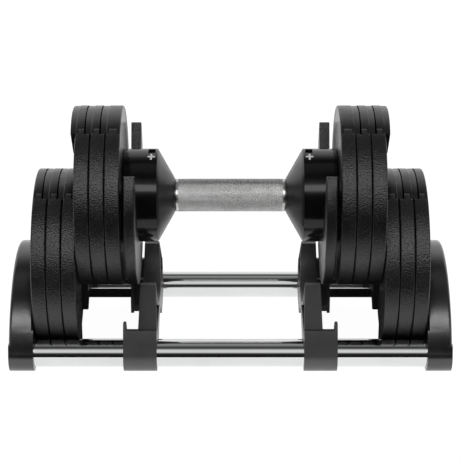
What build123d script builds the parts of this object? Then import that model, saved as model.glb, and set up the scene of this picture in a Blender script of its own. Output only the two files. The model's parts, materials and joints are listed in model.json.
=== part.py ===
from build123d import *
import math
import os

os.makedirs("parts", exist_ok=True)

# All lengths in mm.  X runs along the handle, the user stands at -Y, Z is up, the floor is Z = 0.
# Everything is drawn on the right hand side (+X) and mirrored for the left.

# plates
plate_radius = 90.0
plate_pitch = 14.7
plate_thickness = 14.4
first_plate_x = 106.4
first_thick_number = 2
last_lifted_number = 4
last_number = 7
rim_round = 1.6
slot_half_wide = 39.0
slot_half_narrow = 33.0
slot_margin = 3.3
core_bore_radius = 9.4
tab_reach_top = 5.2
tab_reach_low = 2.2
tab_low = 61.0
groove_depth = 5.8
groove_gap = 0.4

# thin plate
thin_inner_x = 91.8
thin_outer_x = 102.3
thin_arm_height = 50.0
thin_slot_flare = 72.3

# cradle
rail_radius = 14.0
rail_y = 77.5
rail_z = 21.2
rail_end_x = 212.0
dock_z = 91.0
arch_radius = 97.0
arch_z = 3.0
shoe_top = 49.7
wrap_radius = 18.0
foot_bottom = 3.2
end_inner_x = 196.9
end_boss_x = 194.9
end_outer_x = 219.5
bracket_inner_x = 73.0
slot_inner_x = 91.3
slot_outer_x = 102.8
bracket_outer_x = 106.0
slot_radius = 90.8
finger_radius = 85.5
foot_inner_y = 45.0
saddle_radius = 47.2
arm_top_y = 52.0
arm_top_z = 84.0
arm_foot_y = 82.0
shell_wall = 2.6
shell_floor_x = 86.0
finger_top = 57.0
under_arch_top = 27.0
under_arch_radius = 54.2

# dumbbell, drawn lifted out of the cradle
lift = 68.2
axis_z = dock_z + lift
grip_end_x = 55.2
grip_radius = 16.6
tube_outer_radius = 12.5
tube_inner_radius = 9.5
tube_end_x = 97.6
cone_inner_x = 55.6
cone_small_radius = 17.2
hub_inner_x = 72.5
hub_outer_x = 106.0
hub_radius = 46.8
hub_bore_radius = 44.2
web_inner_x = 86.0
web_outer_x = 91.0
end_plate_x = 102.9
bushing_outer_radius = 15.0

# selector rods and the slots that drive them
rod_radius = 9.0
rod_inner_x = 45.7
rod_outer_x = 149.7
pin_x = 50.2
pin_radius = 2.5
pin_tip = 12.1
key_width = 4.0
key_floor = 7.0
cam_slot_width = 6.0
turn_pitch = 4 * plate_pitch
slot_turns = 1.5

# dial gear train
tooth_size = 1.25
sun_teeth = 24
idler_teeth = 18
ring_teeth = 60
gear_inner_x = 76.0
gear_outer_x = 82.0
dial_inner_x = 74.0
dial_outer_x = 83.0
dial_radius = 43.6
idler_pin_radius = 3.0

# sprung lock pins
lock_x = 88.5
lock_tip = 50.3


def x_cylinder(radius, x0, x1, y=0.0, z=0.0):
    """A round bar along X."""
    return Pos((x0 + x1) / 2, y, z) * Rot(0, 90, 0) * Cylinder(radius, x1 - x0)


def z_cylinder(radius, z0, z1, x=0.0, y=0.0):
    """A round bar along Z."""
    return Pos(x, y, (z0 + z1) / 2) * Cylinder(radius, z1 - z0)


def block(x0, x1, y0, y1, z0, z1):
    """A box given by its limits."""
    middle = Pos((x0 + x1) / 2, (y0 + y1) / 2, (z0 + z1) / 2)
    return middle * Box(x1 - x0, y1 - y0, z1 - z0)


def x_prism(points, x0, x1):
    """A closed outline in Y and Z, carried from x0 to x1."""
    face = Plane.YZ * Pos(0, 0, x0) * make_face(Polyline(*points, close=True))
    return extrude(face, x1 - x0, dir=(1, 0, 0))


def carry(outline, x0, x1):
    """A flat outline drawn in Y and Z, carried from x0 to x1."""
    return extrude(Plane.YZ * Pos(0, 0, x0) * outline, x1 - x0, dir=(1, 0, 0))


def rectangle(y0, y1, z0, z1):
    """A flat rectangle in Y and Z."""
    return Pos((y0 + y1) / 2, (z0 + z1) / 2) * Rectangle(y1 - y0, z1 - z0)


def circle(radius, y, z):
    """A flat disc in Y and Z."""
    return Pos(y, z) * Circle(radius)


def y_prism(points, y0, y1):
    """A closed outline in X and Z, carried from y0 to y1."""
    face = Plane.XZ * Pos(0, 0, -y0) * make_face(Polyline(*points, close=True))
    return extrude(face, y1 - y0, dir=(0, 1, 0))


def save(shape, name):
    """Write one node."""
    export_step(shape, "parts/" + name + ".step")


def save_pair(shape, name):
    """Write the right hand node and its mirror image."""
    save(shape, "right_" + name)
    save(mirror(shape, about=Plane.YZ), "left_" + name)


def both_sides(shape):
    """The shape and its mirror image, for identical pieces that share a node."""
    return Compound(children=[shape, mirror(shape, about=Plane.YZ)])


def round_edges_at(shape, x, radius):
    """Circular edges of one radius lying at one X."""
    found = []
    for edge in shape.edges().filter_by(GeomType.CIRCLE):
        if abs(edge.radius - radius) < 0.01 and abs(edge.arc_center.X - x) < 0.01:
            found.append(edge)
    return found


def rounded_disc(radius, x0, x1, z, edge_round):
    """A disc along X with both rims rounded."""
    disc = x_cylinder(radius, x0, x1, z=z)
    return fillet(disc.edges().filter_by(GeomType.CIRCLE), edge_round)


def upright_slot(half_width, x0, x1, z):
    """The U shaped space, round at the bottom and open at the top."""
    bottom = x_cylinder(half_width, x0, x1, z=z)
    return bottom + block(x0, x1, -half_width, half_width, z, z + plate_radius + 5)


def thick_plate(number):
    """One thick plate: the steel disc and the plastic core in its slot."""
    x0 = first_plate_x + (number - first_thick_number) * plate_pitch
    x1 = x0 + plate_thickness
    z = axis_z if number <= last_lifted_number else dock_z
    disc = rounded_disc(plate_radius, x0, x1, z, rim_round)
    grooved = number > first_thick_number
    inner_step = groove_depth if grooved else slot_margin
    space = upright_slot(slot_half_wide, x0 - 1, x0 + inner_step, z)
    space += upright_slot(slot_half_narrow, x0 + inner_step, x1 - slot_margin, z)
    space += upright_slot(slot_half_wide, x1 - slot_margin, x1 + 1, z)
    steel = disc - space
    core = (disc & space) - x_cylinder(core_bore_radius, x0 - 1, x1 + 1, z=z)
    if grooved:
        # groove for the tab of the next plate in, open at both ends
        half = slot_half_wide + groove_gap
        groove = block(x0 - 1, x0 + groove_depth, -half, half, z - 100, z + 100)
        steel = steel - groove
        core = core - groove
    if number < last_number:
        # tab at the top of the outer face, deeper towards the rim
        outline = [
            (x1 - 1, z + tab_low),
            (x1 + tab_reach_low, z + tab_low),
            (x1 + tab_reach_top, z + plate_radius),
            (x1 - 1, z + plate_radius),
        ]
        tab = y_prism(outline, -slot_half_wide, slot_half_wide)
        tab = tab & x_cylinder(plate_radius - 0.4, x1 - 1, x1 + 8, z=z)
        core = core + tab
    return steel, core


def gear_points(teeth, tip_sign):
    """Outline of a gear with straight-sided teeth; tip_sign is -1 for inner teeth."""
    pitch_radius = teeth * tooth_size / 2
    tip = pitch_radius + tip_sign * 1.0
    root = pitch_radius - tip_sign * 1.45
    points = []
    for index in range(teeth):
        angle = 2 * math.pi * index / teeth
        for radius, half in ((root, -1.18), (tip, -0.29), (tip, 0.29), (root, 1.18)):
            y = radius * math.cos(angle) - half * math.sin(angle)
            z = radius * math.sin(angle) + half * math.cos(angle)
            points.append((y, z))
    return points


def arch_outline():
    """Half-round arch over both rails, in Y and Z."""
    return circle(arch_radius, 0, arch_z) & rectangle(-100, 100, rail_z, 200)


def foot_outline(low):
    """Lower part of the cradle ends, wrapped round the rails."""
    shape = circle(arch_radius, 0, arch_z) & rectangle(-100, 100, rail_z, shoe_top)
    shape += rectangle(-rail_y, rail_y, low, rail_z)
    shape += circle(wrap_radius, -rail_y, rail_z)
    shape += circle(wrap_radius, rail_y, rail_z)
    return shape


def arms_outline(inset):
    """Straight-sided arms of a bracket above its foot, drawn smaller by the inset."""
    points = [
        (-arm_foot_y + inset, rail_z),
        (-arm_foot_y + inset, shoe_top - inset / 2),
        (-arm_top_y + inset / 3, arm_top_z - inset),
        (arm_top_y - inset / 3, arm_top_z - inset),
        (arm_foot_y - inset, shoe_top - inset / 2),
        (arm_foot_y - inset, rail_z),
    ]
    return make_face(Polyline(*points, close=True))


def rail_holes():
    """The two round holes for the rails."""
    return circle(rail_radius, -rail_y, rail_z) + circle(rail_radius, rail_y, rail_z)


# Cradle: the two rails, threaded at both ends.
for rail_name, side in (("front_rail", -1), ("rear_rail", 1)):
    rail = x_cylinder(rail_radius, -rail_end_x, rail_end_x, y=side * rail_y, z=rail_z)
    rail = chamfer(rail.edges().filter_by(GeomType.CIRCLE), 1.0)
    for end in (-1, 1):
        rail -= x_cylinder(4.0, end * rail_end_x - 14, end * rail_end_x + 14, y=side * rail_y, z=rail_z)
        rail -= z_cylinder(2.5, rail_z - rail_radius - 1, rail_z - 7, x=end * 82.0, y=side * rail_y)
    save(rail, rail_name)

# Cradle: end supports, a half-round plate with a foot block round each rail, hollow on the inside.
plate_part = carry(arch_outline(), end_inner_x, end_outer_x)
draft = [(end_outer_x, 20), (end_outer_x - 1.8, 100), (end_outer_x + 5, 110), (end_outer_x + 5, 20)]
plate_part -= y_prism(draft, -100, 100)
outer_rim = []
for edge in plate_part.edges():
    middle = edge @ 0.5
    if middle.X > end_outer_x - 2.5 and middle.Z > 40:
        if abs(math.hypot(middle.Y, middle.Z - arch_z) - arch_radius) < 0.05:
            outer_rim.append(edge)
plate_part = fillet(outer_rim, 4.0)
base = foot_outline(foot_bottom)
plate_part += carry(base & rectangle(-100, 100, 0, 36), end_inner_x, end_outer_x)
bosses = base - rectangle(-foot_inner_y, foot_inner_y, -10, 100)
plate_part += carry(bosses, end_boss_x, end_inner_x)
hollow = circle(arch_radius - 8, 0, arch_z) & rectangle(-foot_inner_y - 10, foot_inner_y + 10, 14, 200)
end_support = plate_part - carry(hollow - rectangle(-100, 100, 80, 200), end_inner_x - 5, end_outer_x - 6)
end_support -= carry(rail_holes(), end_boss_x - 1, rail_end_x)
for side in (-1, 1):
    end_support -= x_cylinder(4.0, rail_end_x - 5, 230, y=side * rail_y, z=rail_z)
    end_support -= x_cylinder(6.8, end_outer_x - 4.5, 230, y=side * rail_y, z=rail_z)
save_pair(end_support, "end_support")

# Cradle: brackets.  The inner part is the saddle for the hub, the outer part holds the thin plate.
hub_room = circle(saddle_radius, 0, dock_z) + rectangle(-saddle_radius, saddle_radius, dock_z, 200)
under_arch = circle(under_arch_radius, 0, under_arch_top - under_arch_radius)
centre_gap = rectangle(-foot_inner_y, foot_inner_y, -10, 100)
saddle_outline = arms_outline(0) + foot_outline(foot_bottom) - hub_room - under_arch - rail_holes()
saddle = carry(saddle_outline, bracket_inner_x, slot_inner_x)
inner_draft = [
    (bracket_inner_x - 3, shoe_top),
    (bracket_inner_x, shoe_top),
    (bracket_inner_x + 1.7, 90),
    (bracket_inner_x - 3, 90),
]
outer_draft = [
    (slot_inner_x, shoe_top),
    (slot_inner_x - 1.8, 90),
    (slot_inner_x + 3, 90),
    (slot_inner_x + 3, shoe_top),
]
saddle -= y_prism(inner_draft, -100, 100)
saddle -= y_prism(outer_draft, -100, 100)
# the arms are open shells on the side of the grip
shell_room = arms_outline(shell_wall) & rectangle(-100, 100, 40, 100)
shell_room -= circle(saddle_radius + shell_wall, 0, dock_z)
saddle -= carry(shell_room, bracket_inner_x - 1, shell_floor_x)
shoe_outline = foot_outline(foot_bottom + 2) - circle(slot_radius, 0, dock_z) - centre_gap - rail_holes()
shoe = carry(shoe_outline, slot_inner_x, slot_outer_x)
finger_outline = (arch_outline() & rectangle(-100, 100, 0, finger_top)) + foot_outline(foot_bottom)
finger_outline = finger_outline - circle(finger_radius, 0, dock_z) - centre_gap - rail_holes()
finger = carry(finger_outline, slot_outer_x, bracket_outer_x)
for edge_x, step in ((slot_outer_x, 1), (bracket_outer_x, -1)):
    tip_corner = [
        (edge_x - step, finger_top - 1.6),
        (edge_x, finger_top - 1.6),
        (edge_x + step * 0.4, finger_top - 0.6),
        (edge_x + step * 1.2, finger_top),
        (edge_x + step * 1.2, finger_top + 1),
        (edge_x - step, finger_top + 1),
    ]
    finger -= y_prism(tip_corner, -100, 100)
bracket = saddle + shoe + finger
bracket -= z_cylinder(2.8, 38, 60, x=lock_x)
for side in (-1, 1):
    bracket -= z_cylinder(2.5, 0, rail_z, x=82.0, y=side * rail_y)
    bracket -= z_cylinder(4.2, 0, 5.4, x=82.0, y=side * rail_y)
save_pair(bracket, "bracket")

# Cradle: screws and feet.
rail_screw_list = []
bracket_screw_list = []
foot_list = []
for side in (-1, 1):
    bolt = x_cylinder(4.0, 202.0, 216.0, y=side * rail_y, z=rail_z)
    bolt += x_cylinder(6.5, end_outer_x - 4.5, end_outer_x - 0.8, y=side * rail_y, z=rail_z)
    bolt -= extrude(Plane.YZ * Pos(side * rail_y, rail_z, end_outer_x - 3.4) * RegularPolygon(3.0, 6), 4)
    rail_screw_list.append(bolt)
    screw = z_cylinder(2.5, 4.0, 13.5, x=82.0, y=side * rail_y)
    screw += z_cylinder(4.0, 3.4, 5.4, x=82.0, y=side * rail_y)
    screw -= block(81.4, 82.6, side * rail_y - 3, side * rail_y + 3, 2.0, 4.3)
    bracket_screw_list.append(screw)
    for x0, x1 in ((76.0, 89.0), (199.0, 214.0)):
        low = min(side * 52, side * 70)
        pad = block(x0, x1, low, low + 18, 0, foot_bottom)
        foot_list.append(fillet(pad.edges().filter_by(Axis.Z), 3.0))
save(both_sides(Compound(children=rail_screw_list)), "rail_screws")
save(both_sides(Compound(children=bracket_screw_list)), "bracket_screws")
save(both_sides(Compound(children=foot_list)), "rubber_feet")

# Thick plates, numbered from the hub outwards.
for plate_number in range(first_thick_number, last_number + 1):
    steel_disc, plastic_core = thick_plate(plate_number)
    save_pair(steel_disc, "plate_" + str(plate_number) + "_disc")
    save_pair(plastic_core, "plate_" + str(plate_number) + "_core")

# Thin plate: a U round the hub that opens towards the top, its arms cut level.
thin = rounded_disc(plate_radius, thin_inner_x, thin_outer_x, axis_z, 1.4)
slope = (thin_slot_flare - hub_radius) / (thin_arm_height - 4)
flare_end = thin_slot_flare + slope * 10
flare = [
    (-hub_radius, axis_z),
    (-hub_radius, axis_z + 4),
    (-flare_end, axis_z + thin_arm_height + 10),
    (flare_end, axis_z + thin_arm_height + 10),
    (hub_radius, axis_z + 4),
    (hub_radius, axis_z),
]
thin_slot = circle(hub_radius, 0, axis_z) + make_face(Polyline(*flare, close=True))
thin -= carry(thin_slot, thin_inner_x - 5, thin_outer_x + 5)
thin -= block(0, 300, -100, 100, axis_z + thin_arm_height, axis_z + 100)
save_pair(thin, "thin_plate")

# Grip: the sleeve and the tube fixed inside it.
sleeve = x_cylinder(grip_radius, -grip_end_x, grip_end_x, z=axis_z)
sleeve = chamfer(sleeve.edges().filter_by(GeomType.CIRCLE), 0.8)
sleeve -= x_cylinder(tube_outer_radius, -60, 60, z=axis_z)
save(sleeve, "grip_sleeve")


def cam_slot():
    """Cutter for the right hand screw slot, about the X axis."""
    reach = slot_turns * turn_pitch
    start = pin_x - reach / 2
    middle_radius = (tube_inner_radius + tube_outer_radius) / 2
    path = Helix(turn_pitch, reach, middle_radius, lefthand=True)
    section = Plane(origin=path @ 0, x_dir=(1, 0, 0), z_dir=path % 0) * Rectangle(5.0, cam_slot_width)
    cutter = sweep(section, path=path, is_frenet=True)
    for height, angle in ((0, 0), (reach, -360 * slot_turns)):
        end = Rot(0, 0, angle) * Pos(middle_radius, 0, height) * Rot(0, 90, 0)
        cutter += end * Cylinder(cam_slot_width / 2, 5.0)
    return Plane(origin=(start, 0, 0), x_dir=(0, 1, 0), z_dir=(1, 0, 0)) * cutter


tube = x_cylinder(tube_outer_radius, -tube_end_x, tube_end_x)
tube -= x_cylinder(tube_inner_radius, -200, 200)
slot_right = cam_slot()
tube -= slot_right
tube -= mirror(slot_right, about=Plane.YZ)
sun_gear = x_prism(gear_points(sun_teeth, 1), gear_inner_x, gear_outer_x)
sun_gear -= x_cylinder(tube_outer_radius, 0, 200)
tube = tube + sun_gear + mirror(sun_gear, about=Plane.YZ)
save(Pos(0, 0, axis_z) * tube, "cam_tube")

# Selector rods and their follower pins.
rod = x_cylinder(rod_radius, rod_inner_x, rod_outer_x, z=axis_z)
rod = chamfer(rod.edges().filter_by(GeomType.CIRCLE), 1.2)
rod -= block(0, 200, -key_width / 2, key_width / 2, axis_z - 12, axis_z - key_floor)
rod -= z_cylinder(pin_radius, axis_z + 3, axis_z + 12, x=pin_x)
save_pair(rod, "selector_rod")
follower = z_cylinder(pin_radius, axis_z + 3, axis_z + pin_tip, x=pin_x)
save_pair(follower, "follower_pin")

# Cone between grip and hub.
cone_outline = [
    (cone_inner_x, 13.0),
    (cone_inner_x, cone_small_radius),
    (hub_inner_x, hub_radius),
    (hub_inner_x, 43.0),
    (58.4, 18.3),
    (58.4, 13.0),
]
cone = revolve(make_face(Polyline(*cone_outline, close=True)), Axis.X)
save_pair(Pos(0, 0, axis_z) * cone, "cone")

# Hub housing: drum, web for the bearings, boss for the lock pin, window over the dial.
housing = x_cylinder(hub_radius, hub_inner_x, hub_outer_x)
housing = fillet(round_edges_at(housing, hub_outer_x, hub_radius), 1.0)
housing -= x_cylinder(hub_bore_radius, 0, 200)
web = x_cylinder(hub_bore_radius + 0.5, web_inner_x, web_outer_x)
web += z_cylinder(5.0, -45.0, -22.0, x=lock_x)
web -= x_cylinder(bushing_outer_radius, 0, 200)
web -= x_cylinder(idler_pin_radius, 0, 200, z=(sun_teeth + idler_teeth) * tooth_size / 2)
housing += web
housing -= block(74.4, 81.6, -3.5, 9.5, 40, 50)
housing -= z_cylinder(3.4, -44.2, -24.0, x=lock_x)
housing -= z_cylinder(2.4, -60.0, -40.0, x=lock_x)
hub_screw_list = []
for side in (-1, 1):
    turn = Rot(side * 54, 0, 0)
    housing -= turn * z_cylinder(1.5, -60.0, -36.0, x=lock_x)
    housing -= turn * z_cylinder(2.8, -60.0, -44.9, x=lock_x)
    small = z_cylinder(1.5, -45.5, -36.0, x=lock_x) + z_cylinder(2.6, -46.4, -44.9, x=lock_x)
    small -= block(lock_x - 2, lock_x + 2, -0.4, 0.4, -47, -45.7)
    small -= block(lock_x - 0.4, lock_x + 0.4, -2, 2, -47, -45.7)
    hub_screw_list.append(Pos(0, 0, axis_z) * turn * small)
save_pair(Pos(0, 0, axis_z) * housing, "hub_housing")
save(both_sides(Compound(children=hub_screw_list)), "hub_screws")

# Plate that closes the hub.
end_plate = x_cylinder(hub_bore_radius, end_plate_x, hub_outer_x, z=axis_z)
end_plate -= x_cylinder(tube_outer_radius, 0, 200, z=axis_z)
save_pair(end_plate, "end_plate")

# Dial ring with inner teeth, idler gear and idler pins.
dial = x_cylinder(dial_radius, dial_inner_x, dial_outer_x)
dial -= x_cylinder(39.6, 0, gear_inner_x)
dial -= x_cylinder(39.6, gear_outer_x, 200)
dial -= x_prism(gear_points(ring_teeth, -1), gear_inner_x - 1, gear_outer_x + 1)
save_pair(Pos(0, 0, axis_z) * dial, "dial_ring")
idler_z = axis_z + (sun_teeth + idler_teeth) * tooth_size / 2
idler = x_prism(gear_points(idler_teeth, 1), gear_inner_x, gear_outer_x)
idler -= x_cylinder(idler_pin_radius + 0.08, 0, 200)
save_pair(Pos(0, 0, idler_z) * idler, "idler_gear")
idler_pin = x_cylinder(idler_pin_radius, 74.5, web_outer_x, z=idler_z)
save(both_sides(idler_pin), "idler_pins")

# Bearings: plain rings for the tube, keyed rings for the rods.
grip_bushing = x_cylinder(bushing_outer_radius, web_inner_x - 1, web_outer_x + 1, z=axis_z)
grip_bushing -= x_cylinder(tube_outer_radius + 0.08, 0, 200, z=axis_z)
save(both_sides(grip_bushing), "grip_bushings")
rod_bushing = x_cylinder(tube_outer_radius, 98.2, hub_outer_x - 0.1, z=axis_z)
rod_bushing -= x_cylinder(rod_radius + 0.08, 0, 200, z=axis_z)
rod_bushing += block(98.2, hub_outer_x - 0.1, -1.65, 1.65, axis_z - 10.0, axis_z - key_floor - 0.3)
save(both_sides(rod_bushing), "rod_bushings")

# Lock pins and their springs, in the housing bosses.
lock = z_cylinder(2.0, -lock_tip, -43.0, x=lock_x)
lock = chamfer(lock.edges().group_by(Axis.Z)[0], 0.5)
lock += z_cylinder(3.0, -43.9, -42.4, x=lock_x)
lock += z_cylinder(1.5, -43.0, -34.0, x=lock_x)
save_pair(Pos(0, 0, axis_z) * lock, "lock_pin")
coil = Helix(2.2, 13.0, 2.3)
wire = Plane(origin=coil @ 0, z_dir=coil % 0) * Circle(0.35)
spring = Pos(lock_x, 0, axis_z - 42.05) * sweep(wire, path=coil, is_frenet=True)
save_pair(spring, "lock_spring")
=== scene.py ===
import bpy
import bmesh
import json
import math
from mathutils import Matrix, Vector

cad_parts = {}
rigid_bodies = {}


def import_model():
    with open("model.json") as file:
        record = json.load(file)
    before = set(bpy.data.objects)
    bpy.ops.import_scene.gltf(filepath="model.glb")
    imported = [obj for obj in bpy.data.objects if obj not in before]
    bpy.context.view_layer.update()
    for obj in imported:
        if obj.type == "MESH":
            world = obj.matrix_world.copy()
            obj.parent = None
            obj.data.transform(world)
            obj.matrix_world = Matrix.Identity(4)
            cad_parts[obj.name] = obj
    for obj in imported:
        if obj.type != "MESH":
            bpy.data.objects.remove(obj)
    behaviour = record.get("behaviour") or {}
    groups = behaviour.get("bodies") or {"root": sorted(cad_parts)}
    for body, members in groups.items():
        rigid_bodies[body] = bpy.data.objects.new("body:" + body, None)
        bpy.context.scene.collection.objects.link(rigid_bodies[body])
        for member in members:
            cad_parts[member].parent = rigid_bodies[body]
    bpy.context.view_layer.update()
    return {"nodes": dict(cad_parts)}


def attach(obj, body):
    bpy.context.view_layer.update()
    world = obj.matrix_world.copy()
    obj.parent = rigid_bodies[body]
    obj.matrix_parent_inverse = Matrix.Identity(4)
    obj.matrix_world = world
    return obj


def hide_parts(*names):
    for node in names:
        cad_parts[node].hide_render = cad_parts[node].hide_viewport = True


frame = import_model()
nodes = frame["nodes"]
sides = (("left", -1), ("right", 1))
print("frame loaded:", len(nodes), "nodes")

# Shared places, in metres. X runs along the handle, the user is at -Y.
places = {
    "liftedAxis": 0.1592,   # height of the dumbbell's axis, lifted
    "hubRadius": 0.0468,
    "dialRadius": 0.0436,
}


# small helpers for node trees
def addNode(tree, kind, inputs=None, **settings):
    made = tree.nodes.new(kind)
    for key, value in settings.items():
        setattr(made, key, value)
    for key, value in (inputs or {}).items():
        socket = made.inputs[key]
        if isinstance(value, bpy.types.NodeSocket):
            tree.links.new(value, socket)
        else:
            socket.default_value = value
    return made


def grey(value, tint=(1.0, 1.0, 1.0)):
    return (value * tint[0], value * tint[1], value * tint[2], 1.0)


def noiseOf(tree, where, scale, detail=3.0, rough=0.55):
    made = addNode(tree, "ShaderNodeTexNoise",
                   {"Vector": where, "Scale": scale, "Detail": detail, "Roughness": rough})
    return made.outputs["Fac"]


def spread(tree, value, low, high, toLow, toHigh):
    made = addNode(tree, "ShaderNodeMapRange", {"Value": value, "From Min": low, "From Max": high,
                                                 "To Min": toLow, "To Max": toHigh})
    return made.outputs["Result"]


def mixColours(tree, factor, first, second):
    made = addNode(tree, "ShaderNodeMix", data_type="RGBA")
    tree.links.new(factor, made.inputs["Factor"])
    for name, value in (("A", first), ("B", second)):
        socket = [s for s in made.inputs if s.name == name and s.type == "RGBA"][0]
        if isinstance(value, bpy.types.NodeSocket):
            tree.links.new(value, socket)
        else:
            socket.default_value = value
    return [s for s in made.outputs if s.type == "RGBA"][0]


def newFinish(name):
    finish = bpy.data.materials.new(name)
    finish.use_nodes = True
    tree = finish.node_tree
    tree.nodes.clear()
    shader = addNode(tree, "ShaderNodeBsdfPrincipled")
    addNode(tree, "ShaderNodeOutputMaterial", {"Surface": shader.outputs["BSDF"]})
    where = addNode(tree, "ShaderNodeTexCoord").outputs["Object"]
    return finish, tree, shader, where


# A moulded or painted surface: colour patches, fine grain, roughness that drifts, faint scuffs.
def mouldedFinish(name, look):
    finish, tree, shader, where = newFinish(name)
    patches = noiseOf(tree, where, look["patchScale"], 4.0)
    blend = spread(tree, patches, 0.35, 0.65, 0.0, 1.0)
    colour = mixColours(tree, blend, grey(look["dark"]), grey(look["light"]))
    fleckScale = look.get("fleckScale", 0)
    if fleckScale:
        cells = addNode(tree, "ShaderNodeTexVoronoi", {"Vector": where, "Scale": fleckScale})
        flecks = spread(tree, cells.outputs["Color"], 0.86, 1.0, 0.0, 1.0)
        colour = mixColours(tree, flecks, colour, grey(look["fleck"]))
    stretch = look.get("scuffStretch", (1, 1, 1))
    scratchWhere = addNode(tree, "ShaderNodeMapping", {"Vector": where, "Scale": stretch})
    rubbed = noiseOf(tree, scratchWhere.outputs["Vector"], look["scuffScale"], 6.0, 0.7)
    scuffs = spread(tree, rubbed, 0.60, 0.74, 0.0, 1.0)
    colour = mixColours(tree, scuffs, colour, grey(look["scuff"]))
    tree.links.new(colour, shader.inputs["Base Color"])
    drift = noiseOf(tree, where, look["patchScale"] * 2.3, 3.0)
    roughness = spread(tree, drift, 0.3, 0.7, look["roughLow"], look["roughHigh"])
    tree.links.new(roughness, shader.inputs["Roughness"])
    grain = noiseOf(tree, where, look["grainScale"], 2.0, 0.6)
    pits = addNode(tree, "ShaderNodeTexVoronoi", {"Vector": where, "Scale": look["grainScale"] * 0.7})
    height = addNode(tree, "ShaderNodeMath", {0: grain, 1: pits.outputs["Distance"]}, operation="ADD")
    bump = addNode(tree, "ShaderNodeBump", {
        "Height": height.outputs["Value"], "Strength": look["grainStrength"], "Distance": look["grainDepth"],
    })
    tree.links.new(bump.outputs["Normal"], shader.inputs["Normal"])
    shader.inputs["Specular IOR Level"].default_value = look.get("specular", 0.5)
    return finish


# Bare or plated metal: long fine scratches over a mirror or satin base.
def metalFinish(name, look):
    finish, tree, shader, where = newFinish(name)
    shader.inputs["Metallic"].default_value = 1.0
    patches = noiseOf(tree, where, look["patchScale"], 4.0)
    colour = mixColours(tree, spread(tree, patches, 0.35, 0.65, 0.0, 1.0),
                        grey(look["dark"], look["tint"]), grey(look["light"], look["tint"]))
    tree.links.new(colour, shader.inputs["Base Color"])
    mapped = addNode(tree, "ShaderNodeMapping", {"Vector": where, "Scale": look["scratchStretch"]})
    lines = noiseOf(tree, mapped.outputs["Vector"], look["scratchScale"], 5.0, 0.65)
    roughness = spread(tree, lines, 0.3, 0.75, look["roughLow"], look["roughHigh"])
    tree.links.new(roughness, shader.inputs["Roughness"])
    bump = addNode(tree, "ShaderNodeBump",
                   {"Height": lines, "Strength": look["scratchStrength"], "Distance": 0.0001})
    tree.links.new(bump.outputs["Normal"], shader.inputs["Normal"])
    return finish


plateCoat = mouldedFinish("plateCoat", {
    "dark": 0.0025, "light": 0.0050, "patchScale": 30, "fleckScale": 1300, "fleck": 0.030,
    "scuffScale": 90, "scuff": 0.011, "roughLow": 0.29, "roughHigh": 0.38,
    "grainScale": 940, "grainStrength": 0.55, "grainDepth": 0.0005, "specular": 0.62,
})
corePlastic = mouldedFinish("corePlastic", {
    "dark": 0.0030, "light": 0.0055, "patchScale": 45, "scuffScale": 120, "scuff": 0.014,
    "roughLow": 0.26, "roughHigh": 0.36, "grainScale": 1600, "grainStrength": 0.12, "grainDepth": 0.0002,
})
# painted light: the brackets' plastic gets a base colour many times lighter than the end supports' plastic,
# so the brackets read bright though the front box lamp skips them
bracketPlasticPaintedLight = mouldedFinish("bracketPlasticPaintedLight", {
    "dark": 0.062, "light": 0.076, "patchScale": 25, "scuffScale": 70, "scuff": 0.095, "specular": 0.7,
    "roughLow": 0.34, "roughHigh": 0.44, "grainScale": 1300, "grainStrength": 0.14, "grainDepth": 0.0003,
})
supportPlastic = mouldedFinish("supportPlastic", {
    "dark": 0.007, "light": 0.011, "patchScale": 25, "scuffScale": 70, "scuff": 0.020, "specular": 1.0,
    "roughLow": 0.20, "roughHigh": 0.27, "grainScale": 1300, "grainStrength": 0.14, "grainDepth": 0.0003,
})
hubGloss = mouldedFinish("hubGloss", {
    "dark": 0.0035, "light": 0.0055, "patchScale": 40, "scuffScale": 60, "scuff": 0.008, "specular": 0.30,
    "scuffStretch": (6, 1, 1), "roughLow": 0.10, "roughHigh": 0.17,
    "grainScale": 700, "grainStrength": 0.03, "grainDepth": 0.0002,
})
coneSatin = mouldedFinish("coneSatin", {
    "dark": 0.007, "light": 0.011, "patchScale": 50, "scuffScale": 80, "scuff": 0.016,
    "roughLow": 0.28, "roughHigh": 0.36, "grainScale": 1500, "grainStrength": 0.08, "grainDepth": 0.0002,
})
bearingPlastic = mouldedFinish("bearingPlastic", {
    "dark": 0.50, "light": 0.58, "patchScale": 60, "scuffScale": 90, "scuff": 0.40,
    "roughLow": 0.35, "roughHigh": 0.5, "grainScale": 1200, "grainStrength": 0.1, "grainDepth": 0.0002,
})
dialBlack = mouldedFinish("dialBlack", {
    "dark": 0.010, "light": 0.014, "patchScale": 60, "scuffScale": 90, "scuff": 0.020,
    "roughLow": 0.45, "roughHigh": 0.55, "grainScale": 1500, "grainStrength": 0.1, "grainDepth": 0.0002,
})
footRubber = mouldedFinish("footRubber", {
    "dark": 0.012, "light": 0.018, "patchScale": 80, "scuffScale": 60, "scuff": 0.05,
    "roughLow": 0.7, "roughHigh": 0.85, "grainScale": 1800, "grainStrength": 0.3, "grainDepth": 0.0003,
})
markPaint = mouldedFinish("markPaint", {
    "dark": 0.80, "light": 0.88, "patchScale": 300, "scuffScale": 700, "scuff": 0.62,
    "roughLow": 0.4, "roughHigh": 0.55, "grainScale": 3000, "grainStrength": 0.05, "grainDepth": 0.0001,
})
chromePlate = metalFinish("chromePlate", {
    "dark": 0.68, "light": 0.73, "tint": (0.99, 1.0, 1.0), "patchScale": 12, "scratchStretch": (0.05, 1, 1),
    "scratchScale": 900, "scratchStrength": 0.02, "roughLow": 0.04, "roughHigh": 0.09,
})
gripSteel = metalFinish("gripSteel", {
    "dark": 0.56, "light": 0.63, "tint": (1.0, 1.0, 0.99), "patchScale": 90, "scratchStretch": (1, 1, 1),
    "scratchScale": 1500, "scratchStrength": 0.10, "roughLow": 0.22, "roughHigh": 0.34,
})
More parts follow.
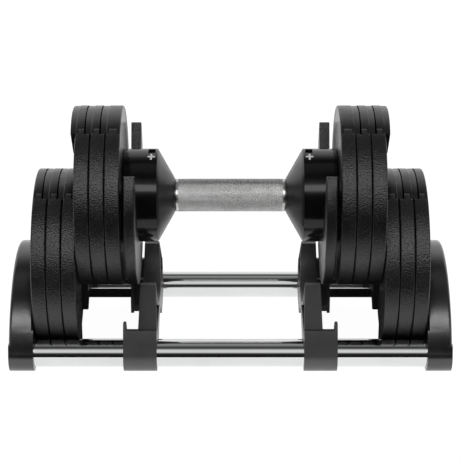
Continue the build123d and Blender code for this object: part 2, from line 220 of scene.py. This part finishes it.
turnedSteel = metalFinish("turnedSteel", {
    "dark": 0.42, "light": 0.55, "tint": (1.0, 1.0, 1.0), "patchScale": 60,
    "scratchStretch": (1, 0.05, 0.05), "scratchScale": 1200, "scratchStrength": 0.06,
    "roughLow": 0.25, "roughHigh": 0.4,
})
blackScrew = metalFinish("blackScrew", {
    "dark": 0.05, "light": 0.09, "tint": (1.0, 1.0, 1.0), "patchScale": 300, "scratchStretch": (1, 1, 1),
    "scratchScale": 2000, "scratchStrength": 0.05, "roughLow": 0.35, "roughHigh": 0.5,
})
print("finishes made")


# the frame's own nodes get their finishes and soft edges
edgeSoftening = {
    "seamGap": 0.000005,   # points closer than this are joined first
    "angle": 35,           # degrees; flatter edges stay as they are
    "segments": 2,
    "plateDisc": 0.00030,
    "plateCore": 0.00035,
    "cradle": 0.00060,
    "thinPlate": 0.00045,
    "hub": 0.00030,
}


def softenEdges(piece, width):
    weld = piece.modifiers.new("joinSeams", "WELD")
    weld.merge_threshold = edgeSoftening["seamGap"]
    bevel = piece.modifiers.new("softEdges", "BEVEL")
    bevel.width = width
    bevel.segments = edgeSoftening["segments"]
    bevel.limit_method = "ANGLE"
    bevel.angle_limit = math.radians(edgeSoftening["angle"])
    bevel.harden_normals = False
    bevel.use_clamp_overlap = True


def dress(name, finish, edge=0.0):
    piece = nodes[name]
    piece.data.materials.clear()
    piece.data.materials.append(finish)
    if edge:
        softenEdges(piece, edge)


for rail in ("front_rail", "rear_rail"):
    dress(rail, chromePlate)
for side, sign in sides:
    dress(side + "_end_support", supportPlastic, edgeSoftening["cradle"])
    # the brackets take the lighter plastic with painted light in its colour
    dress(side + "_bracket", bracketPlasticPaintedLight, edgeSoftening["cradle"])
    dress(side + "_thin_plate", plateCoat, edgeSoftening["thinPlate"])
    for number in range(2, 8):
        dress(side + "_plate_%d_disc" % number, plateCoat, edgeSoftening["plateDisc"])
        dress(side + "_plate_%d_core" % number, corePlastic, edgeSoftening["plateCore"])
    dress(side + "_hub_housing", hubGloss, edgeSoftening["hub"])
    dress(side + "_cone", coneSatin, edgeSoftening["hub"])
    dress(side + "_end_plate", corePlastic)
    dress(side + "_dial_ring", dialBlack)
    dress(side + "_idler_gear", bearingPlastic)
    dress(side + "_selector_rod", turnedSteel)
    dress(side + "_follower_pin", turnedSteel)
    dress(side + "_lock_pin", turnedSteel)
    dress(side + "_lock_spring", turnedSteel)
for name in ("rail_screws", "bracket_screws", "hub_screws"):
    dress(name, blackScrew)
for name in ("rod_bushings", "grip_bushings"):
    dress(name, bearingPlastic)
dress("idler_pins", turnedSteel)
dress("cam_tube", turnedSteel)
dress("rubber_feet", footRubber)
print("frame nodes dressed")


def meshPiece(name, verts, faces, finish, body, smooth=True):
    mesh = bpy.data.meshes.new(name)
    mesh.from_pydata(verts, [], faces)
    mesh.validate()
    mesh.update()
    mesh.materials.append(finish)
    piece = bpy.data.objects.new(name, mesh)
    bpy.context.scene.collection.objects.link(piece)
    if smooth:
        for face in mesh.polygons:
            face.use_smooth = True
    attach(piece, body)
    return piece


grip = {
    "radius": 0.0166,
    "innerRadius": 0.0125,
    "halfLength": 0.0552,
    "knurlPitch": 0.00260,   # along the grip
    "diamondsAround": 40,
    "knurlDepth": 0.00085,
    "plainEnd": 0.0025,      # smooth ring at each end
    "fadeLength": 0.0008,    # over which the knurl starts, and the end is rounded
    "endRound": 0.0005,
    "ridgeSharpness": 1.15,
    "stepsPerDiamond": 6,
}


def knurledTube(look, name, finish, body):
    around = look["diamondsAround"] * look["stepsPerDiamond"]
    step = look["knurlPitch"] / look["stepsPerDiamond"]
    along = int(2 * look["halfLength"] / step)
    verts, faces = [], []
    for i in range(along + 1):
        x = -look["halfLength"] + 2 * look["halfLength"] * i / along
        inset = look["halfLength"] - abs(x)
        fade = max(0.0, min(1.0, (inset - look["plainEnd"]) / look["fadeLength"]))
        lip = look["endRound"] * max(0.0, 1.0 - inset / look["fadeLength"])
        for j in range(around):
            turn = 2 * math.pi * j / around
            a = look["diamondsAround"] * turn / 2 + math.pi * x / look["knurlPitch"]
            b = look["diamondsAround"] * turn / 2 - math.pi * x / look["knurlPitch"]
            rise = min(abs(math.sin(a)), abs(math.sin(b)))
            cut = look["knurlDepth"] * fade * (1.0 - min(1.0, rise * look["ridgeSharpness"]))
            r = look["radius"] - lip - cut
            verts.append((x, r * math.sin(turn), places["liftedAxis"] + r * math.cos(turn)))
    for i in range(along):
        for j in range(around):
            k = (j + 1) % around
            faces.append((i * around + j, i * around + k, (i + 1) * around + k, (i + 1) * around + j))
    for end, x in ((0, -look["halfLength"]), (along, look["halfLength"])):
        start = len(verts)
        r = look["innerRadius"]
        for j in range(around):
            turn = 2 * math.pi * j / around
            verts.append((x, r * math.sin(turn), places["liftedAxis"] + r * math.cos(turn)))
        for j in range(around):
            k = (j + 1) % around
            ring = (end * around + j, end * around + k, start + k, start + j)
            faces.append(ring if end else tuple(reversed(ring)))
    return meshPiece(name, verts, faces, finish, body)


knurled = knurledTube(grip, "knurled_grip", gripSteel, "grip")
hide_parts("grip_sleeve")
print("grip knurled")


plusMark = {
    "centreX": 0.0784,
    "tilt": 12.6,           # degrees in front of the top
    "arm": 0.0039,
    "width": 0.0020,
    "stretch": 1.35,        # taller round the hub than along it
    "proud": 0.00008,
    "thickness": 0.0004,
    "tipSteps": 6,
}


def curvedPatch(outline, centreX, tilt, radius, low):
    verts, faces = [], []
    for level in (radius, low):
        for u, v in outline:
            angle = math.radians(-tilt) + v / radius
            y, z = level * math.sin(angle), places["liftedAxis"] + level * math.cos(angle)
            verts.append((centreX + u, y, z))
    count = len(outline)
    faces.append(tuple(range(count)))
    for j in range(count):
        k = (j + 1) % count
        faces.append((j, j + count, k + count, k))
    return verts, faces


def plusOutline(arm, half):
    corners = []
    for turn in range(4):
        c, s = math.cos(turn * math.pi / 2), math.sin(turn * math.pi / 2)
        tip = [(arm - half, -half)]
        for step in range(plusMark["tipSteps"] + 1):  # round tip
            a = -math.pi / 2 + math.pi * step / plusMark["tipSteps"]
            tip.append((arm - half + half * math.cos(a), half * math.sin(a)))
        tip.append((half, half))
        for u, v in tip[1:]:
            corners.append((u * c - v * s, u * s + v * c))
    return corners


for side, sign in sides:
    outline = plusOutline(plusMark["arm"], plusMark["width"] / 2)
    top = places["hubRadius"] + plusMark["proud"]
    outline = [(u, v * plusMark["stretch"]) for u, v in outline]
    low = top - plusMark["thickness"]
    verts, faces = curvedPatch(outline, sign * plusMark["centreX"], plusMark["tilt"], top, low)
    mark = meshPiece(side + "_plus_mark", verts, faces, markPaint, "dumbbell", smooth=False)
print("plus marks placed")


dialNumbers = {
    "values": ("4", "8", "12", "16", "20", "24", "28"),
    "atRest": 3,             # the number under the window in this pose
    "stepDegrees": 36.0,     # dial travel for one plate
    "height": 0.0042,
    "fontFactor": 1.4,       # font size for one unit of digit height
    "inkDepth": 0.00015,
    "centreX": 0.0782,
    "windowTilt": -4.0,
    "proud": 0.00010,
}


def numberOutline(text, height):
    curve = bpy.data.curves.new("digits", "FONT")
    curve.body = text
    curve.size = height * dialNumbers["fontFactor"]
    curve.align_x = "CENTER"
    curve.align_y = "CENTER"
    holder = bpy.data.objects.new("digits", curve)
    bpy.context.scene.collection.objects.link(holder)
    bpy.context.view_layer.update()
    flat = bpy.data.meshes.new_from_object(holder.evaluated_get(bpy.context.evaluated_depsgraph_get()))
    bpy.data.objects.remove(holder)
    return flat


for side, sign in sides:
    dialMesh = bmesh.new()
    radius = places["dialRadius"] + dialNumbers["proud"]
    for index, text in enumerate(dialNumbers["values"]):
        flat = numberOutline(text, dialNumbers["height"])
        turn = -dialNumbers["windowTilt"] + (dialNumbers["atRest"] - index) * dialNumbers["stepDegrees"]
        for vert in flat.vertices:
            angle = math.radians(turn) + vert.co.y / radius
            vert.co = (sign * dialNumbers["centreX"] + vert.co.x, radius * math.sin(angle),
                       places["liftedAxis"] + radius * math.cos(angle))
        dialMesh.from_mesh(flat)
        bpy.data.meshes.remove(flat)
    mesh = bpy.data.meshes.new(side + "_dial_numbers")
    dialMesh.to_mesh(mesh)
    dialMesh.free()
    mesh.materials.append(markPaint)
    numbers = bpy.data.objects.new(side + "_dial_numbers", mesh)
    bpy.context.scene.collection.objects.link(numbers)
    thick = numbers.modifiers.new("inkDepth", "SOLIDIFY")
    thick.thickness = dialNumbers["inkDepth"]
    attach(numbers, side + "_dial")
print("dial numbers placed")


studio = {
    "floorHalf": 6.0,
    "floorWhite": 0.30,
    "floorGlow": 0.97,
    "floorZ": -0.0004,
    "tableEdgeY": -0.228,    # the table's near edge: reflections are dark in front of it
    "cardZ": 0.0006,
    "shadeZ": 0.0002,
    "worldStrength": 1.0,
    "shadeX": (0.078, 0.205),
    "shadeY": (-0.060, 0.120),
}


def stagePlane(name, x0, x1, y0, y1, z, finish):
    mesh = bpy.data.meshes.new(name)
    mesh.from_pydata([(x0, y0, z), (x1, y0, z), (x1, y1, z), (x0, y1, z)], [], [(0, 1, 2, 3)])
    mesh.materials.append(finish)
    piece = bpy.data.objects.new(name, mesh)
    bpy.context.scene.collection.objects.link(piece)
    return piece


floorWhite, tree, shader, where = newFinish("floorWhite")
cloud = noiseOf(tree, where, 4.0)
speck = spread(tree, cloud, 0.3, 0.7, studio["floorWhite"] - 0.01, studio["floorWhite"] + 0.01)
tone = addNode(tree, "ShaderNodeCombineColor", {"Red": speck, "Green": speck, "Blue": speck})
tree.links.new(tone.outputs["Color"], shader.inputs["Base Color"])
shader.inputs["Roughness"].default_value = 0.8
shader.inputs["Specular IOR Level"].default_value = 0.1
shader.inputs["Emission Color"].default_value = (1, 1, 1, 1)
shader.inputs["Emission Strength"].default_value = studio["floorGlow"]
half = studio["floorHalf"]
stagePlane("floor", -half, half, -half, half, studio["floorZ"], floorWhite)

cardBlack, tree, shader, where = newFinish("cardBlack")
shader.inputs["Base Color"].default_value = (0.01, 0.01, 0.01, 1)
shader.inputs["Roughness"].default_value = 1.0
shader.inputs["Specular IOR Level"].default_value = 0.0
nearCard = stagePlane("nearCard", -half, half, -half, studio["tableEdgeY"], studio["cardZ"], cardBlack)
nearCard.visible_camera = False
nearCard.visible_shadow = False
# painted shadow: black cards on the floor under the plates, hidden from the camera and casting no shadow,
# stand in for the shade the plates throw there
for side, sign in sides:  # the dark the plates throw under themselves
    left, right = sorted((sign * studio["shadeX"][0], sign * studio["shadeX"][1]))
    near, far = studio["shadeY"]
    shade = stagePlane(side + "Shade", left, right, near, far, studio["shadeZ"], cardBlack)
    shade.visible_camera = False
    shade.visible_shadow = False

# Long soft boxes and dark gaps, as bands of sky round the X axis: degrees from overhead, towards the user.
skyBands = (
    (-180, 0.97), (-95, 0.97), (-51, 0.97), (-43, 0.62), (-37, 0.29), (-28, 0.06), (-22, 0.06), (-14, 0.33),
    (6, 0.20), (14, 0.055), (24, 0.055), (33, 0.36), (41, 0.83), (58, 0.83), (66, 0.14), (74, 0.018),
    (100, 0.010), (180, 0.02),
)
world = bpy.data.worlds.new("studioSky")
world.use_nodes = True
tree = world.node_tree
tree.nodes.clear()
skyPlace = addNode(tree, "ShaderNodeTexCoord").outputs["Generated"]
heading = addNode(tree, "ShaderNodeSeparateXYZ", {0: skyPlace})
toUser = addNode(tree, "ShaderNodeMath", {0: heading.outputs["Y"], 1: -1.0}, operation="MULTIPLY")
angle = addNode(tree, "ShaderNodeMath", {0: toUser.outputs["Value"], 1: heading.outputs["Z"]},
                operation="ARCTAN2")
position = spread(tree, angle.outputs["Value"], -math.pi, math.pi, 0.0, 1.0)
ramp = addNode(tree, "ShaderNodeValToRGB", {"Fac": position})
stops = ramp.color_ramp.elements
while len(stops) > 1:
    stops.remove(stops[-1])
for index, (degrees, level) in enumerate(skyBands):
    stop = stops[0] if index == 0 else stops.new((degrees + 180) / 360)
    stop.position = (degrees + 180) / 360
    stop.color = (level, level, level, 1)
background = addNode(tree, "ShaderNodeBackground",
                     {"Color": ramp.outputs["Color"], "Strength": studio["worldStrength"]})
addNode(tree, "ShaderNodeOutputWorld", {"Surface": background.outputs["Background"]})
bpy.context.scene.world = world


# The front soft box, for everything but the bright rails, the brackets and the floor; the brackets' lighter
# base colour stands in for its light.
frontBox = {
    "distance": 2.0,
    "elevation": 41.0,
    "aimZ": 0.12,
    "size": (3.0, 0.55),
    "watts": 16.0,
    "skips": ("front_rail", "rear_rail", "left_bracket", "right_bracket", "floor"),
}
lampData = bpy.data.lights.new("frontBox", "AREA")
lampData.shape = "RECTANGLE"
lampData.size, lampData.size_y = frontBox["size"]
lampData.energy = frontBox["watts"]
frontLamp = bpy.data.objects.new("frontBox", lampData)
bpy.context.scene.collection.objects.link(frontLamp)
rise = math.radians(frontBox["elevation"])
frontLamp.location = (0.0, -frontBox["distance"] * math.cos(rise),
                      frontBox["aimZ"] + frontBox["distance"] * math.sin(rise))
frontLamp.rotation_euler = (math.pi / 2 - rise, 0.0, 0.0)
frontLamp.visible_camera = False
frontLit = bpy.data.collections.new("frontLit")
for piece in bpy.context.scene.collection.all_objects:
    if piece.type == "MESH" and piece.name not in frontBox["skips"]:
        frontLit.objects.link(piece)
frontLamp.light_linking.receiver_collection = frontLit
print("studio lit")

cameraSetup = {
    "target": (-0.0004, 0.0, 0.1206),
    "distance": 1.7262,
    "elevation": 24.3,
    "lens": 133.1,
}
tilt = math.radians(cameraSetup["elevation"])
back = Vector((0.0, -math.cos(tilt), math.sin(tilt)))
lensData = bpy.data.cameras.new("camera")
lensData.lens = cameraSetup["lens"]
lensData.sensor_width = 36.0
lensData.clip_start, lensData.clip_end = 0.05, 50.0
camera = bpy.data.objects.new("camera", lensData)
bpy.context.scene.collection.objects.link(camera)
camera.location = Vector(cameraSetup["target"]) + back * cameraSetup["distance"]
camera.rotation_mode = "QUATERNION"
camera.rotation_quaternion = (-back).to_track_quat("-Z", "Y")
bpy.context.scene.camera = camera
bpy.context.scene.view_settings.view_transform = "Standard"
print("camera set")
